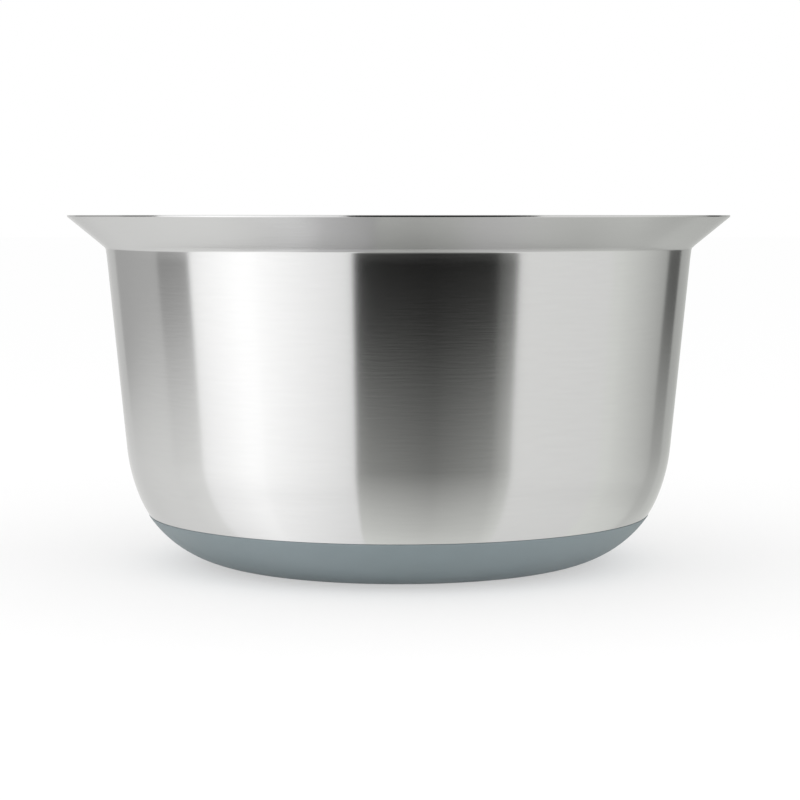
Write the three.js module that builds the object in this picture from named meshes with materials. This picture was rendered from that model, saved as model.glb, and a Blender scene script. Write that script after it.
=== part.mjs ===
// Stainless steel mixing bowl with a flared rim and a bonded silicone base.
// Millimetres, +Z up. The origin is on the bowl's axis, on the table that it stands on.
import * as THREE from 'three';

// Driving dimensions of the drawn steel shell
const RIM_RADIUS = 120;
const RIM_HEIGHT = 126.4;
const SHEET = 0.45;
const FLARE_ANGLE = 39.5; // degrees up from the horizontal
const NECK_HEIGHT = 114.5; // where the outer lines of flare and wall would cross
const NECK_BEND = 1.2; // bend radius on the outside of the crease
const WALL_DRAFT = 5.5; // degrees out from the vertical
const UPPER_HEEL_RADIUS = 61.5;
const LOWER_HEEL_RADIUS = 35;
const HEEL_BLEND_ANGLE = 66.3; // degrees up from the horizontal, where the two heel arcs meet

// Driving dimensions of the silicone base and of the adhesive that holds it
const LIP_HEIGHT = 17.9;
const LIP_THICKNESS = 0.2;
const SOLE_THICKNESS = 2.1;
const SOLE_LAND = 6; // flat ring between the outermost groove and the edge of the foot
const CENTRE_PAD_RADIUS = 16;
const GROOVE_PITCH = 10;
const GROOVE_WIDTH = 3;
const GROOVE_DEPTH = 0.8;
const GROOVE_DRAFT = 20; // degrees, lets the moulded grooves leave the tool
const ADHESIVE_THICKNESS = 0.2;
const ADHESIVE_SETBACK = 10; // bare land between the adhesive and the lip, along the steel

// Fineness of the facets
const TURN_SEGMENTS = 64;
const ARC_STEP = 6.5; // degrees of turn per facet along a meridian

const radians = THREE.MathUtils.degToRad;
const flareSlope = radians(FLARE_ANGLE);
const wallSlope = radians(90 - WALL_DRAFT);
const blendSlope = radians(HEEL_BLEND_ANGLE);

// The rim is trimmed upright through the slanting sheet
const trimHeight = SHEET / Math.cos(flareSlope);
const neckRadius = RIM_RADIUS - (RIM_HEIGHT - trimHeight - NECK_HEIGHT) / Math.tan(flareSlope);

// The steel's underside rests on the adhesive, which rests on the sole
const seatHeight = SOLE_THICKNESS + ADHESIVE_THICKNESS;
const blendHeight = seatHeight + LOWER_HEEL_RADIUS * (1 - Math.cos(blendSlope));
const heelTopHeight = blendHeight + UPPER_HEEL_RADIUS * (Math.cos(blendSlope) - Math.cos(wallSlope));
const heelTopRadius = neckRadius - (NECK_HEIGHT - heelTopHeight) / Math.tan(wallSlope);
const blendRadius = heelTopRadius - UPPER_HEEL_RADIUS * (Math.sin(wallSlope) - Math.sin(blendSlope));
const floorRadius = blendRadius - LOWER_HEEL_RADIUS * Math.sin(blendSlope);

// Angles from one slope to another in even steps, without the first
function slopesBetween(from, to) {
  const count = Math.ceil(Math.abs(to - from) / radians(ARC_STEP));
  return Array.from({ length: count }, (_, i) => THREE.MathUtils.lerp(from, to, (i + 1) / count));
}

// A point of an arc that leaves a start point of known slope; a negative radius bends it downwards
function arcPoint(start, radius, slope) {
  return {
    r: start.r + radius * (Math.sin(slope) - Math.sin(start.slope)),
    z: start.z + radius * (Math.cos(start.slope) - Math.cos(slope)),
    slope,
  };
}

// A point moved along its normal, away from the bowl's inside
function movedOut(point, distance) {
  return {
    r: point.r + distance * Math.sin(point.slope),
    z: point.z - distance * Math.cos(point.slope),
    slope: point.slope,
  };
}

// The outside of the steel, as points of one meridian
const steelCentre = { r: 0, z: seatHeight, slope: 0 };
const floorEdge = { r: floorRadius, z: seatHeight, slope: 0 };
const blend = { r: blendRadius, z: blendHeight, slope: blendSlope };

function heelPoint(slope) {
  return slope <= blendSlope
    ? arcPoint(floorEdge, LOWER_HEEL_RADIUS, slope)
    : arcPoint(blend, UPPER_HEEL_RADIUS, slope);
}

function heelSlopeAt(height) {
  return height <= blendHeight
    ? Math.acos(1 - (height - seatHeight) / LOWER_HEEL_RADIUS)
    : Math.acos(Math.cos(blendSlope) - (height - blendHeight) / UPPER_HEEL_RADIUS);
}

function neckPoints() {
  const tangent = NECK_BEND * Math.tan((wallSlope - flareSlope) / 2);
  const start = {
    r: neckRadius - tangent * Math.cos(wallSlope),
    z: NECK_HEIGHT - tangent * Math.sin(wallSlope),
    slope: wallSlope,
  };
  return [start, ...slopesBetween(wallSlope, flareSlope).map((slope) => arcPoint(start, -NECK_BEND, slope))];
}

// Shell, adhesive and base share these heel points, so their faces meet exactly
const lipSlope = heelSlopeAt(LIP_HEIGHT);
const adhesiveSlope = lipSlope - ADHESIVE_SETBACK / LOWER_HEEL_RADIUS;
const stops = [0, adhesiveSlope, lipSlope, blendSlope, wallSlope].sort((a, b) => a - b);
const heel = [floorEdge, ...stops.slice(1).flatMap((stop, i) => slopesBetween(stops[i], stop)).map(heelPoint)];
const gluedFace = [steelCentre, ...heel.filter((point) => point.slope <= adhesiveSlope)];
const bareLand = heel.filter((point) => point.slope >= adhesiveSlope && point.slope <= lipSlope);

function shellProfile() {
  const outside = [steelCentre, ...heel, ...neckPoints()];
  const inside = outside.map((point) => movedOut(point, -SHEET)).reverse();
  const trim = [
    { r: RIM_RADIUS, z: RIM_HEIGHT - trimHeight },
    { r: RIM_RADIUS, z: RIM_HEIGHT },
  ];
  return [...outside, ...trim, ...inside];
}

function adhesiveProfile() {
  const underside = gluedFace.map((point) => movedOut(point, ADHESIVE_THICKNESS));
  return [...underside, ...gluedFace.toReversed()];
}

// The skin leaves the lip parallel to the steel and rounds down to the flat foot in one arc
function skinPoints() {
  const lip = movedOut(heelPoint(lipSlope), LIP_THICKNESS);
  const radius = lip.z / (1 - Math.cos(lipSlope));
  const foot = { r: lip.r - radius * Math.sin(lipSlope), z: 0, slope: 0 };
  return [foot, ...slopesBetween(0, lipSlope).map((slope) => arcPoint(foot, radius, slope))];
}

// One grip groove, as the four corners of its drafted section from the inside out
function groovePoints(centre) {
  const mouth = GROOVE_WIDTH / 2;
  const bed = mouth - GROOVE_DEPTH * Math.tan(radians(GROOVE_DRAFT));
  return [
    { r: centre - mouth, z: 0 },
    { r: centre - bed, z: GROOVE_DEPTH },
    { r: centre + bed, z: GROOVE_DEPTH },
    { r: centre + mouth, z: 0 },
  ];
}

function solePoints(footRadius) {
  const grooves = [];
  const outermost = footRadius - SOLE_LAND - GROOVE_WIDTH / 2;
  for (let centre = outermost; centre - GROOVE_WIDTH / 2 > CENTRE_PAD_RADIUS; centre -= GROOVE_PITCH) {
    grooves.unshift(...groovePoints(centre));
  }
  return [{ r: 0, z: 0 }, ...grooves];
}

function baseProfile() {
  const skin = skinPoints();
  const pocket = gluedFace.map((point) => movedOut(point, ADHESIVE_THICKNESS));
  return [...solePoints(skin[0].r), ...skin, ...bareLand.toReversed(), ...pocket.reverse()];
}

// A closed solid of revolution about +Z from a profile that starts and ends on the axis
function turned(name, profile, material) {
  const outline = profile.map(({ r, z }) => new THREE.Vector2(r, z));
  const geometry = new THREE.LatheGeometry(outline, TURN_SEGMENTS).rotateX(Math.PI / 2);
  const mesh = new THREE.Mesh(geometry, material);
  mesh.name = name;
  return mesh;
}

const brushedSteel = new THREE.MeshStandardMaterial({ color: 0xc6c6c4, roughness: 0.32, metalness: 1 });
const clearAdhesive = new THREE.MeshStandardMaterial({ color: 0xdedbd2, roughness: 0.5, metalness: 0 });
const greySilicone = new THREE.MeshStandardMaterial({ color: 0x7c878a, roughness: 0.75, metalness: 0 });

const bowl = new THREE.Group();
bowl.add(turned('bowl_shell', shellProfile(), brushedSteel));
bowl.add(turned('adhesive_layer', adhesiveProfile(), clearAdhesive));
bowl.add(turned('silicone_base', baseProfile(), greySilicone));

export default bowl;
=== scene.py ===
import math

import bpy
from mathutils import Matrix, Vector


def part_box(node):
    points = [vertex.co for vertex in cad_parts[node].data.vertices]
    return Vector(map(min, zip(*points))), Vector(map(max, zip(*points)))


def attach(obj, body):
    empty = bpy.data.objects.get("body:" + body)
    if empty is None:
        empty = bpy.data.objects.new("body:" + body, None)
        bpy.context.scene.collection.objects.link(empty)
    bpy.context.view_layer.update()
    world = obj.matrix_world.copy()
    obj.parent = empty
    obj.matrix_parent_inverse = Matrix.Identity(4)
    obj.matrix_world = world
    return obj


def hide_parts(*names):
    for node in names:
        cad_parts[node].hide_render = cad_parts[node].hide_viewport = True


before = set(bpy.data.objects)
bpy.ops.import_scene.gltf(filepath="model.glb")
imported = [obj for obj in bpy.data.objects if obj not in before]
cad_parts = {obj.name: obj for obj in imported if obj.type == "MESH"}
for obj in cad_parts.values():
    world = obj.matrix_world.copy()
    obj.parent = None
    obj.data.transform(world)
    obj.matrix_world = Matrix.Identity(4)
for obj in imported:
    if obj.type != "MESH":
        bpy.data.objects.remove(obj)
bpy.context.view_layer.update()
shellLow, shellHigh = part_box("bowl_shell")
mm = 0.001
print("frame loaded:", ", ".join(sorted(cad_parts)))


def deselectAll():
    if bpy.context.mode != "OBJECT":
        bpy.ops.object.mode_set(mode="OBJECT")
    bpy.ops.object.select_all(action="DESELECT")


def turnTowards(thing, aim):
    # cameras and lamps look along their own -Z
    thing.rotation_euler = (Vector(aim) - thing.location).to_track_quat("-Z", "Y").to_euler()


# the camera looks from the rim's height, a little down
view = {
    "distance": 857.0 * mm,
    "height": 126.8 * mm,
    "aimHeight": 58.6 * mm,
    "aside": 0.5 * mm,
    "lens": 105.2,
    "sensor": 36.0,
    "nearest": 10.0 * mm,  # the camera sees nothing closer than this
}


def makeCamera(v):
    deselectAll()
    bpy.ops.object.camera_add(location=(v["aside"], -v["distance"], v["height"]))
    camera = bpy.context.object
    turnTowards(camera, (v["aside"], 0, v["aimHeight"]))
    camera.data.lens = v["lens"]
    camera.data.sensor_width = v["sensor"]
    camera.data.clip_start = v["nearest"]
    bpy.context.scene.camera = camera


makeCamera(view)
print("camera set")


# the shape of the turned pieces: points are (radius, height, slope in radians)
crispEnd = 0.012  # share of a straight stretch to the close ring that keeps its end crisp


def arcPoint(start, radius, slope):
    r, z, startSlope = start
    across = radius * (math.sin(slope) - math.sin(startSlope))
    rise = radius * (math.cos(startSlope) - math.cos(slope))
    return (r + across, z + rise, slope)


def arcPoints(start, radius, endSlope, stepDegrees):
    turn = endSlope - start[2]
    count = max(2, math.ceil(abs(turn) / math.radians(stepDegrees)))
    return [arcPoint(start, radius, start[2] + turn * i / count) for i in range(count + 1)]


def linePoints(start, end, count):
    # only the rings between the two ends
    r, z, slope = start
    shares = [crispEnd] + [i / count for i in range(1, count)] + [1 - crispEnd]
    return [(r + (end[0] - r) * share, z + (end[1] - z) * share, slope) for share in shares]


def movedOut(point, distance):
    r, z, slope = point
    return (r + distance * math.sin(slope), z - distance * math.cos(slope), slope)


# modelling by hand: a disc, then ring after ring pulled out of its edge

def pullRing(fromRing, toRing):
    grow = toRing[0] / fromRing[0]
    middle = (0, 0, fromRing[1])
    bpy.ops.mesh.extrude_region_move()
    bpy.ops.transform.resize(value=(grow, grow, 1), center_override=middle)
    bpy.ops.transform.translate(value=(0, 0, toRing[1] - fromRing[1]))


def turnedPiece(name, rings, turnSteps):
    deselectAll()
    first = rings[0]
    bpy.ops.mesh.primitive_circle_add(vertices=turnSteps, radius=first[0], fill_type="TRIFAN")
    piece = bpy.context.object
    piece.name = name
    bpy.ops.object.mode_set(mode="EDIT")
    bpy.ops.transform.translate(value=(0, 0, first[1]))
    bpy.ops.mesh.select_mode(type="EDGE")
    bpy.ops.mesh.select_all(action="DESELECT")
    bpy.ops.mesh.select_non_manifold()  # only the disc's edge is open
    for fromRing, toRing in zip(rings, rings[1:]):
        pullRing(fromRing, toRing)
    bpy.ops.mesh.extrude_region_move()
    bpy.ops.mesh.merge(type="CENTER")
    bpy.ops.mesh.select_all(action="SELECT")
    bpy.ops.mesh.normals_make_consistent(inside=False)
    bpy.ops.object.mode_set(mode="OBJECT")
    return piece


# in degrees: edges over breakAngle get a small break, and those over sharpAngle are shaded as sharp
edgeFinish = {"segments": 3, "breakAngle": 40, "sharpAngle": 35}


def softenEdges(piece, width):
    bevel = piece.modifiers.new("edge break", "BEVEL")
    bevel.width = width
    bevel.segments = edgeFinish["segments"]
    bevel.limit_method = "ANGLE"
    bevel.angle_limit = math.radians(edgeFinish["breakAngle"])
    bevel.use_clamp_overlap = False
    deselectAll()
    piece.select_set(True)
    bpy.context.view_layer.objects.active = piece
    bpy.ops.object.modifier_apply(modifier=bevel.name)
    bpy.ops.object.shade_smooth_by_angle(angle=math.radians(edgeFinish["sharpAngle"]))


# the drawn steel shell, with angles and steps in degrees
steelBowl = {
    "sheet": 0.45 * mm,
    "flareAngle": 39.5,  # up from level
    "neckHeight": 114.5 * mm,  # where the lines of wall and flare would cross
    "wallEase": {"length": 4.0 * mm, "turn": 3.0, "step": 0.4},  # the sheet leaves the wall slowly,
    "neckBend": {"radius": 0.9 * mm, "step": 4.0},  # bends tightly
    "flareEase": {"length": 1.6 * mm, "turn": 7.0, "step": 2.0},  # and settles into the flare
    "wallDraft": 5.5,  # out from upright
    "upperHeel": 61.5 * mm,
    "lowerHeel": 35.0 * mm,
    "heelBlend": 66.3,  # slope where the two heel arcs meet
    "edgeBreak": 0.1 * mm,
    "turnSteps": 192,
    "arcStep": 2.0,
    "wallRings": 12,
    "flareRings": 6,
}


def easeRadius(ease):
    return ease["length"] / math.radians(ease["turn"])


def neckPoints(s, wall, flare, neckRadius):
    # three arcs in a row, slid along the wall until the last one ends on the flare
    wallEase, bend, flareEase = s["wallEase"], s["neckBend"], s["flareEase"]
    bendStart = wall - math.radians(wallEase["turn"])
    bendEnd = flare + math.radians(flareEase["turn"])
    points = [(0.0, 0.0, wall)]
    points += arcPoints(points[-1], -easeRadius(wallEase), bendStart, wallEase["step"])[1:]
    points += arcPoints(points[-1], -bend["radius"], bendEnd, bend["step"])[1:]
    points += arcPoints(points[-1], -easeRadius(flareEase), flare, flareEase["step"])[1:]
    across, rise = points[-1][:2]
    below = (rise * math.cos(flare) - across * math.sin(flare)) / math.sin(wall - flare)
    startRadius = neckRadius - below * math.cos(wall)
    startHeight = s["neckHeight"] - below * math.sin(wall)
    return [(startRadius + r, startHeight + z, slope) for r, z, slope in points]


def shellOutside(s):
    flare = math.radians(s["flareAngle"])
    wall = math.radians(90 - s["wallDraft"])
    blend = math.radians(s["heelBlend"])
    rimRadius, rimHeight, seat = shellHigh.x, shellHigh.z, shellLow.z
    trim = s["sheet"] / math.cos(flare)  # the rim is cut upright through the slanting sheet
    neckRadius = rimRadius - (rimHeight - trim - s["neckHeight"]) / math.tan(flare)
    blendHeight = seat + s["lowerHeel"] * (1 - math.cos(blend))
    heelTop = blendHeight + s["upperHeel"] * (math.cos(blend) - math.cos(wall))
    heelTopRadius = neckRadius - (s["neckHeight"] - heelTop) / math.tan(wall)
    blendRadius = heelTopRadius - s["upperHeel"] * (math.sin(wall) - math.sin(blend))
    floorEdge = (blendRadius - s["lowerHeel"] * math.sin(blend), seat, 0.0)
    lower = arcPoints(floorEdge, s["lowerHeel"], blend, s["arcStep"])
    upper = arcPoints(lower[-1], s["upperHeel"], wall, s["arcStep"])
    neck = neckPoints(s, wall, flare, neckRadius)
    rim = (rimRadius, rimHeight - trim, flare)
    side = linePoints(upper[-1], neck[0], s["wallRings"])
    brim = linePoints(neck[-1], rim, s["flareRings"])
    return lower + upper[1:] + side + neck + brim + [rim]


def makeSteelBowl(s):
    outside = shellOutside(s)
    inside = [movedOut(point, -s["sheet"]) for point in outside[:-1]]
    lip = (shellHigh.x, shellHigh.z, 0.0)
    piece = turnedPiece("steelBowl", outside + [lip] + inside[::-1], s["turnSteps"])
    softenEdges(piece, s["edgeBreak"])
    return piece


steelPiece = makeSteelBowl(steelBowl)
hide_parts("bowl_shell")
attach(steelPiece, "root")
print("steel bowl modelled:", len(steelPiece.data.polygons), "faces")


# the silicone base, which lies on the steel's lower heel
siliconeBase = {
    "lipHeight": 17.9 * mm,
    "lipThickness": 0.2 * mm,
    "adhesive": 0.2 * mm,
    "adhesiveSetback": 10.0 * mm,  # bare stretch between the adhesive and the lip
    "land": 6.0 * mm,  # flat ring outside the outermost groove
    "centrePad": 16.0 * mm,
    "groovePitch": 10.0 * mm,
    "grooveWidth": 3.0 * mm,
    "grooveDepth": 0.8 * mm,
    "grooveDraft": 20.0,  # degrees
    "edgeBreak": 0.06 * mm,
    "turnSteps": 192,
    "arcStep": 2.0,  # degrees
}


def grooveRings(b, footRadius):
    rings = []
    mouth = b["grooveWidth"] / 2
    bed = mouth - b["grooveDepth"] * math.tan(math.radians(b["grooveDraft"]))
    centre = footRadius - b["land"] - mouth
    while centre - mouth > b["centrePad"]:
        rings = [(centre - mouth, 0.0), (centre - bed, b["grooveDepth"]),
                 (centre + bed, b["grooveDepth"]), (centre + mouth, 0.0)] + rings
        centre -= b["groovePitch"]
    return rings


def makeSiliconeBase(b, s):
    floorEdge = shellOutside(s)[0]
    lipSlope = math.acos(1 - (b["lipHeight"] - shellLow.z) / s["lowerHeel"])
    glueSlope = lipSlope - b["adhesiveSetback"] / s["lowerHeel"]
    glued = arcPoints(floorEdge, s["lowerHeel"], glueSlope, b["arcStep"])
    bare = arcPoints(glued[-1], s["lowerHeel"], lipSlope, b["arcStep"])
    pocket = [movedOut(point, b["adhesive"]) for point in glued]
    lip = movedOut(bare[-1], b["lipThickness"])
    skinRadius = lip[1] / (1 - math.cos(lipSlope))
    foot = (lip[0] - skinRadius * math.sin(lipSlope), 0.0, 0.0)
    skin = arcPoints(foot, skinRadius, lipSlope, b["arcStep"])
    rings = grooveRings(b, foot[0]) + skin + bare[::-1] + pocket[::-1]
    piece = turnedPiece("siliconeBase", rings, b["turnSteps"])
    softenEdges(piece, b["edgeBreak"])
    return piece


basePiece = makeSiliconeBase(siliconeBase, steelBowl)
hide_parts("silicone_base")
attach(basePiece, "root")
print("silicone base modelled:", len(basePiece.data.polygons), "faces")


# materials
fullSpan = (0.0, 1.0)
noiseSpan = (0.3, 0.7)  # most values of a noise lie between these


def nodeTools(tree):
    def make(kind, **values):
        node = tree.nodes.new(kind)
        for key, value in values.items():
            setattr(node, key, value)
        return node
    return make, tree.links.new


def rampNode(make, link, source, span, values):
    ramp = make("ShaderNodeMapRange")
    ramp.inputs["From Min"].default_value, ramp.inputs["From Max"].default_value = span
    ramp.inputs["To Min"].default_value, ramp.inputs["To Max"].default_value = values
    link(source, ramp.inputs["Value"])
    return ramp


grainNoise = {"lineDetail": 3.0, "lineRoughness": 0.6, "patchDetail": 2.0}


def makeTurnedGrain(g):
    # fine lines that run round the axis, with soft patches over them
    group = bpy.data.node_groups.new("turnedGrain", "ShaderNodeTree")
    for name, kind in (("Position", "NodeSocketVector"), ("Line Length", "NodeSocketFloat"),
                       ("Lines", "NodeSocketFloat"), ("Patches", "NodeSocketFloat")):
        group.interface.new_socket(name, in_out="INPUT", socket_type=kind)
    for name in ("Line", "Patch"):
        group.interface.new_socket(name, in_out="OUTPUT", socket_type="NodeSocketFloat")
    make, link = nodeTools(group)
    entry = make("NodeGroupInput")
    leave = make("NodeGroupOutput")
    split = make("ShaderNodeSeparateXYZ")
    link(entry.outputs["Position"], split.inputs[0])
    flat = make("ShaderNodeCombineXYZ")
    link(split.outputs["X"], flat.inputs["X"])
    link(split.outputs["Y"], flat.inputs["Y"])
    radius = make("ShaderNodeVectorMath", operation="LENGTH")
    link(flat.outputs[0], radius.inputs[0])
    bearing = make("ShaderNodeVectorMath", operation="NORMALIZE")
    link(flat.outputs[0], bearing.inputs[0])
    along = make("ShaderNodeMath", operation="ADD")  # grows steadily from the floor's middle to the rim
    link(radius.outputs["Value"], along.inputs[0])
    link(split.outputs["Z"], along.inputs[1])
    lines = make("ShaderNodeMath", operation="MULTIPLY")
    link(along.outputs[0], lines.inputs[0])
    link(entry.outputs["Lines"], lines.inputs[1])
    lineWay = make("ShaderNodeVectorMath", operation="SCALE")
    link(bearing.outputs["Vector"], lineWay.inputs[0])
    link(entry.outputs["Line Length"], lineWay.inputs["Scale"])
    lift = make("ShaderNodeCombineXYZ")
    link(lines.outputs[0], lift.inputs["Z"])
    spot = make("ShaderNodeVectorMath", operation="ADD")
    link(lineWay.outputs["Vector"], spot.inputs[0])
    link(lift.outputs[0], spot.inputs[1])
    line = make("ShaderNodeTexNoise")
    line.inputs["Scale"].default_value = 1.0  # the spot is scaled already
    line.inputs["Detail"].default_value = g["lineDetail"]
    line.inputs["Roughness"].default_value = g["lineRoughness"]
    link(spot.outputs["Vector"], line.inputs["Vector"])
    patch = make("ShaderNodeTexNoise")
    patch.inputs["Detail"].default_value = g["patchDetail"]
    link(entry.outputs["Position"], patch.inputs["Vector"])
    link(entry.outputs["Patches"], patch.inputs["Scale"])
    link(line.outputs["Fac"], leave.inputs["Line"])
    link(patch.outputs["Fac"], leave.inputs["Patch"])
    return group


turnedGrain = makeTurnedGrain(grainNoise)


def startMaterial(name, m):
    material = bpy.data.materials.new(name)
    material.use_nodes = True
    shader = material.node_tree.nodes["Principled BSDF"]
    make, link = nodeTools(material.node_tree)
    place = make("ShaderNodeTexCoord")
    grain = make("ShaderNodeGroup", node_tree=turnedGrain)
    grain.inputs["Line Length"].default_value = m["lineLength"]
    grain.inputs["Lines"].default_value = m["lines"]
    grain.inputs["Patches"].default_value = m["patches"]
    link(place.outputs["Object"], grain.inputs["Position"])
    return material, shader, grain, make, link


def varyColour(shader, make, link, mask, m):
    tint = make("ShaderNodeMix", data_type="RGBA")
    tint.inputs["A"].default_value = m["dark"]
    tint.inputs["B"].default_value = m["light"]
    link(mask, tint.inputs["Factor"])
    link(tint.outputs["Result"], shader.inputs["Base Color"])


def varyRoughness(shader, make, link, mask, m):
    rough = rampNode(make, link, mask, noiseSpan, m["roughness"])
    link(rough.outputs["Result"], shader.inputs["Roughness"])


def raiseLines(shader, make, link, mask, m):
    bump = make("ShaderNodeBump")
    bump.inputs["Distance"].default_value = m["bump"]
    link(mask, bump.inputs["Height"])
    link(bump.outputs["Normal"], shader.inputs["Normal"])


brushedSteel = {
    "dark": (0.611, 0.611, 0.609, 1),
    "light": (0.623, 0.623, 0.621, 1),
    "edgeTint": (0.75, 0.75, 0.75, 1),  # steel mirrors less at a grazing angle
    "lineLength": 9.0,
    "lines": 1100.0,
    "patches": 26.0,
    "roughness": (0.165, 0.18),
    "metallic": 1.0,
    "anisotropy": 0.79,
    "anisotropyTurn": 0.25,  # a quarter turn, so that reflections spread across the brushing
    "bump": 0.0105 * mm,
}


def makeBrushedSteel(m):
    material, shader, grain, make, link = startMaterial("brushedSteel", m)
    lightness = rampNode(make, link, grain.outputs["Line"], noiseSpan, fullSpan)
    varyColour(shader, make, link, lightness.outputs["Result"], m)
    varyRoughness(shader, make, link, grain.outputs["Patch"], m)
    raiseLines(shader, make, link, grain.outputs["Line"], m)
    tangent = make("ShaderNodeTangent", direction_type="RADIAL", axis="Z")
    link(tangent.outputs["Tangent"], shader.inputs["Tangent"])
    shader.inputs["Metallic"].default_value = m["metallic"]
    shader.inputs["Specular Tint"].default_value = m["edgeTint"]
    shader.inputs["Anisotropic"].default_value = m["anisotropy"]
    shader.inputs["Anisotropic Rotation"].default_value = m["anisotropyTurn"]
    return material


mattSilicone = {
    "dark": (0.182, 0.222, 0.236, 1),
    "light": (0.208, 0.253, 0.269, 1),
    "lineLength": 40.0,
    "lines": 900.0,
    "patches": 90.0,
    "roughness": (0.52, 0.62),
    "bump": 0.01 * mm,
}


def makeMattSilicone(m):
    material, shader, grain, make, link = startMaterial("mattSilicone", m)
    varyColour(shader, make, link, grain.outputs["Patch"], m)
    varyRoughness(shader, make, link, grain.outputs["Patch"], m)
    raiseLines(shader, make, link, grain.outputs["Line"], m)
    return material


clearAdhesive = {
    "dark": (0.66, 0.64, 0.58, 1),
    "light": (0.76, 0.74, 0.68, 1),
    "lineLength": 20.0,
    "lines": 300.0,
    "patches": 120.0,
    "roughness": 0.45,
}


def makeClearAdhesive(m):
    material, shader, grain, make, link = startMaterial("clearAdhesive", m)
    varyColour(shader, make, link, grain.outputs["Patch"], m)
    shader.inputs["Roughness"].default_value = m["roughness"]
    return material


def dress(piece, material):
    piece.data.materials.clear()
    piece.data.materials.append(material)


dress(steelPiece, makeBrushedSteel(brushedSteel))
dress(basePiece, makeMattSilicone(mattSilicone))
dress(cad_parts["adhesive_layer"], makeClearAdhesive(clearAdhesive))
print("materials made")


# the stage: floor, sky, lamps and the cards that the steel mirrors, in metres
neutral = (1.0, 1.0, 1.0, 1)
warm = (1.0, 1.0, 0.988, 1)
olive = (0.988, 1.0, 0.965, 1)
plainWhite = 1.0  # strength that renders as white
studio = {
    "floorSize": 24.0,
    "floorColour": (0.98, 0.98, 0.98, 1),
    "floorGlow": 0.5,  # share of plain white that the camera and the steel see
    "sky": 1.0,  # strength of the light that falls on the bowl
}


def emptyNodes(owner):
    owner.use_nodes = True
    owner.node_tree.nodes.clear()
    return nodeTools(owner.node_tree)


def seenWhite(make, link):
    # one for rays from the camera and for rays that metal or glass sends on
    path = make("ShaderNodeLightPath")
    mirror = make("ShaderNodeMath", operation="MAXIMUM")
    link(path.outputs["Is Glossy Ray"], mirror.inputs[0])
    link(path.outputs["Is Transmission Ray"], mirror.inputs[1])
    seen = make("ShaderNodeMath", operation="MAXIMUM")
    link(path.outputs["Is Camera Ray"], seen.inputs[0])
    link(mirror.outputs[0], seen.inputs[1])
    return seen.outputs[0]


def mixShaders(make, link, share, first, second):
    both = make("ShaderNodeMixShader")
    link(share, both.inputs["Fac"])
    link(first.outputs[0], both.inputs[1])
    link(second.outputs[0], both.inputs[2])
    return both.outputs[0]


def makeFloor(s):
    deselectAll()
    bpy.ops.mesh.primitive_plane_add(size=s["floorSize"])
    floor = bpy.context.object
    floor.name = "paleFloor"
    material = bpy.data.materials.new("paleFloor")
    make, link = emptyNodes(material)
    paint = make("ShaderNodeBsdfDiffuse")
    paint.inputs["Color"].default_value = s["floorColour"]
    glow = make("ShaderNodeEmission")
    glow.inputs["Strength"].default_value = plainWhite
    share = make("ShaderNodeMath", operation="MULTIPLY")
    share.inputs[1].default_value = s["floorGlow"]
    link(seenWhite(make, link), share.inputs[0])
    finish = mixShaders(make, link, share.outputs[0], paint, glow)
    link(finish, make("ShaderNodeOutputMaterial").inputs["Surface"])
    dress(floor, material)


def makeSky(s):
    world = bpy.context.scene.world or bpy.data.worlds.new("studioSky")
    bpy.context.scene.world = world
    make, link = emptyNodes(world)
    light = make("ShaderNodeBackground")
    light.inputs["Strength"].default_value = s["sky"]
    white = make("ShaderNodeBackground")
    white.inputs["Strength"].default_value = plainWhite
    for node in (light, white):
        node.inputs["Color"].default_value = neutral
    finish = mixShaders(make, link, seenWhite(make, link), light, white)
    link(finish, make("ShaderNodeOutputWorld").inputs["Surface"])


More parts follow.
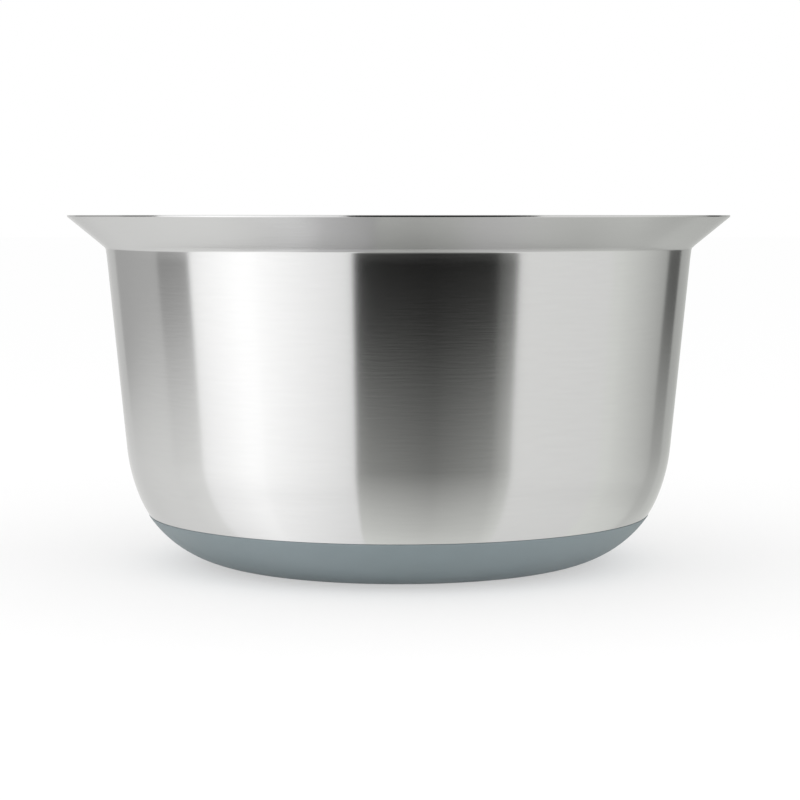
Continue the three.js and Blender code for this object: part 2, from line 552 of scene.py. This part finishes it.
# Cards for the steel to mirror. Each fills one band of the wall and follows the rays that the band
# throws back. "face" gives the band's edges in degrees round the bowl, from the camera's side to its right.
# "near", "far", "power" and "below" each have a value for those two edges: the tones beside the bowl and
# far out, how fast the near tone falls off, and what is left of it in the painted shade that stands for
# the bowl's own shadow. "fade" gives the distances from the axis between which the near tone ends.
cards = {
    "frontFlagLeft": {"face": (-8.0, 5.5), "far": (0.0, 0.0), "near": (1.0, 0.9), "below": (0.72, 0.82),
                      "fade": (0.34, 0.48), "power": (0.97, 1.32), "tint": olive},
    "frontFlagRight": {"face": (5.5, 18.0), "far": (0.0, 0.0), "near": (0.9, 0.9), "below": (0.82, 0.86),
                       "fade": (0.34, 0.48), "power": (1.32, 0.77), "tint": olive},
    "frontShade": {"face": (18.0, 21.8), "far": (0.07, 0.2), "near": (0.9, 0.98), "below": (0.86, 0.78),
                   "fade": (0.34, 0.56), "power": (0.77, 0.35), "tint": olive},
    "middleSoftbox": {"face": (-30, -8.0), "far": (1.67, 1.13), "near": (1.3, 1.02), "below": (0.55, 0.49),
                      "fade": (0.3, 0.65), "power": (1.5, 1.5), "tint": neutral},
    "leftSoftbox": {"face": (-41.5, -30), "far": (1.36, 1.66), "near": (1.16, 1.3), "below": (0.8, 0.7),
                    "fade": (0.3, 0.65), "power": (1.5, 1.5), "tint": neutral},
    "leftFlag": {"face": (-50.6, -41.5), "far": (0.33, 0.33), "near": (0.99, 1.06), "below": (1.0, 0.76),
                 "fade": (0.2, 0.85), "power": (0.0, 0.0), "tint": warm},
    "leftWall": {"face": (-69.8, -50.6), "far": (0.61, 0.58), "near": (1.03, 1.0), "below": (1.0, 1.0),
                 "fade": (0.25, 0.75), "power": (0.0, 0.0), "tint": warm},
    "leftBack": {"face": (-84, -69.8), "far": (0.88, 0.86), "near": (0.98, 1.06), "below": (1.0, 1.0),
                 "fade": (0.25, 0.65), "power": (0.0, 0.0), "tint": warm},
    "rightWall": {"face": (21.8, 43), "far": (1.04, 0.98), "near": (0.96, 0.96), "below": (0.73, 0.74),
                  "fade": (0.6, 1.0), "power": (2.5, 2.5), "tint": warm},
    "rightSide": {"face": (43, 61.8), "far": (0.98, 0.57), "near": (1.0, 1.02), "below": (0.74, 0.68),
                  "fade": (0.6, 1.0), "power": (1.5, 1.5), "tint": olive},
    "rightFlag": {"face": (61.8, 68.8), "far": (0.12, 0.12), "near": (0.84, 0.92), "below": (0.86, 0.86),
                  "fade": (0.2, 1.25), "power": (0.4, 0.4), "tint": olive},
    "rightBack": {"face": (68.8, 84), "far": (0.64, 0.74), "near": (0.92, 0.96), "below": (1.0, 1.0),
                  "fade": (0.2, 0.7), "power": (0.5, 0.5), "tint": olive},
}
cardReach = {
    "wall": 0.092,  # radius of the wall that throws the rays back
    "gap": -0.014,  # along the ray from the wall to the card, which starts inside it
    "length": 1.0,
    "height": 1.8,
    "lift": 0.002,
    "steps": 12,
    "startSize": 0.01,  # the plane that is merged to the card's first corner
}
wireCorners = 3  # a card is swept from a wire with its inner end, its bend and its top
# painted shade for the bowl's own shadow, ending between these radii; it darkens what is seen from further
# up than the drop
paintedOwnShade = {"radius": (0.125, 0.17), "drop": (0.05, 0.12)}


def aroundBowl(angle, radius):
    return Vector((math.sin(angle), -math.cos(angle), 0)) * radius


def thrownBack(angle):
    # the way a ray from the camera leaves the wall again
    spot = aroundBowl(angle, cardReach["wall"])
    return 2 * angle + math.atan2(spot.x, view["distance"] + spot.y)


def cardTone(make, link, card):
    across = make("ShaderNodeAttribute", attribute_name="across")
    place = make("ShaderNodeTexCoord")
    flat = make("ShaderNodeVectorMath", operation="MULTIPLY")
    flat.inputs[1].default_value = (1, 1, 0)
    link(place.outputs["Object"], flat.inputs[0])
    distance = make("ShaderNodeVectorMath", operation="LENGTH")
    link(flat.outputs["Vector"], distance.inputs[0])
    radius = distance.outputs["Value"]

    def fromEdgeToEdge(key):
        return rampNode(make, link, across.outputs["Fac"], fullSpan, card[key]).outputs["Result"]

    nearness = make("ShaderNodeMath", operation="DIVIDE", use_clamp=True)
    nearness.inputs[0].default_value = cardReach["wall"]
    link(radius, nearness.inputs[1])
    falling = make("ShaderNodeMath", operation="POWER")
    link(nearness.outputs[0], falling.inputs[0])
    link(fromEdgeToEdge("power"), falling.inputs[1])
    fade = rampNode(make, link, radius, card["fade"], (1.0, 0.0))
    fade.interpolation_type = "SMOOTHSTEP"
    share = make("ShaderNodeMath", operation="MULTIPLY")
    link(falling.outputs[0], share.inputs[0])
    link(fade.outputs["Result"], share.inputs[1])
    tone = rampNode(make, link, share.outputs[0], fullSpan, fullSpan)
    link(fromEdgeToEdge("far"), tone.inputs["To Min"])
    link(fromEdgeToEdge("near"), tone.inputs["To Max"])
    # painted shade: near the bowl the card's glow is darkened to stand for the bowl's shadow on the floor
    beside = rampNode(make, link, radius, paintedOwnShade["radius"], fullSpan)
    link(fromEdgeToEdge("below"), beside.inputs["To Min"])
    rayLength = make("ShaderNodeLightPath").outputs["Ray Length"]
    drop = rampNode(make, link, rayLength, paintedOwnShade["drop"], (1.0, 0.0))
    link(beside.outputs["Result"], drop.inputs["To Max"])
    shaded = make("ShaderNodeMath", operation="MULTIPLY")
    link(tone.outputs["Result"], shaded.inputs[0])
    link(drop.outputs["Result"], shaded.inputs[1])
    return shaded.outputs[0]


def sweepCard(name, face, reach):
    # a wire runs out along the floor and then up, and is swept from ray to ray
    first, last = (math.radians(edge) for edge in face)
    angles = [first + (last - first) * i / reach["steps"] for i in range(reach["steps"] + 1)]
    outward = aroundBowl(thrownBack(first), 1)
    start = aroundBowl(first, reach["wall"]) + outward * reach["gap"] + Vector((0, 0, reach["lift"]))
    out = outward * (reach["length"] - reach["gap"])
    deselectAll()
    bpy.ops.mesh.primitive_plane_add(size=reach["startSize"])
    piece = bpy.context.object
    piece.name = name
    bpy.ops.object.mode_set(mode="EDIT")
    bpy.ops.mesh.select_mode(type="VERT")
    bpy.ops.mesh.merge(type="CENTER")
    bpy.ops.transform.translate(value=start)
    bpy.ops.mesh.extrude_region_move(TRANSFORM_OT_translate={"value": out})
    bpy.ops.mesh.extrude_region_move(TRANSFORM_OT_translate={"value": (0, 0, reach["height"])})
    bpy.ops.mesh.select_all(action="SELECT")
    for angle, nextAngle in zip(angles, angles[1:]):
        corner = aroundBowl(angle, reach["wall"])
        swing = thrownBack(nextAngle) - thrownBack(angle)
        bpy.ops.mesh.extrude_region_move()
        bpy.ops.transform.rotate(value=-swing, orient_axis="Z", center_override=corner)
        bpy.ops.transform.translate(value=aroundBowl(nextAngle, reach["wall"]) - corner)
    bpy.ops.object.mode_set(mode="OBJECT")
    shares = [i // wireCorners / reach["steps"] for i in range(len(piece.data.vertices))]
    piece.data.attributes.new("across", "FLOAT", "POINT").data.foreach_set("value", shares)
    return piece


def makeCard(name, card):
    piece = sweepCard(name, card["face"], cardReach)
    material = bpy.data.materials.new(name)
    make, link = emptyNodes(material)
    glow = make("ShaderNodeEmission")
    glow.inputs["Color"].default_value = card["tint"]
    link(cardTone(make, link, card), glow.inputs["Strength"])
    link(glow.outputs[0], make("ShaderNodeOutputMaterial").inputs["Surface"])
    dress(piece, material)
    piece.visible_camera = False
    piece.visible_diffuse = False
    piece.visible_shadow = False
    piece.visible_transmission = False


lamps = {
    "leftLamp": {"place": (-0.9, -0.7, 0.7), "size": 0.8, "power": 1.2},
    "rightLamp": {"place": (0.9, -0.8, 0.6), "size": 0.8, "power": 1.0},
    "frontFill": {"place": (0.0, -1.1, 0.14), "size": 0.5, "power": 1.6},
    "lowLeft": {"place": (-0.8, -0.6, 0.06), "size": 0.4, "power": 0.5},
    "lowRight": {"place": (0.8, -0.6, 0.06), "size": 0.4, "power": 0.5},
}
lampAim = (0, 0, 0.05)


def makeLamp(name, lamp):
    deselectAll()
    bpy.ops.object.light_add(type="AREA", location=lamp["place"])
    light = bpy.context.object
    light.name = name
    light.data.shape = "DISK"
    light.data.size = lamp["size"]
    light.data.energy = lamp["power"]
    turnTowards(light, lampAim)
    light.visible_camera = False
    light.visible_glossy = False


makeFloor(studio)
makeSky(studio)
for cardName, cardSettings in cards.items():
    makeCard(cardName, cardSettings)
for lampName, lampSettings in lamps.items():
    makeLamp(lampName, lampSettings)
bpy.context.scene.view_settings.view_transform = "Standard"
print("stage set")
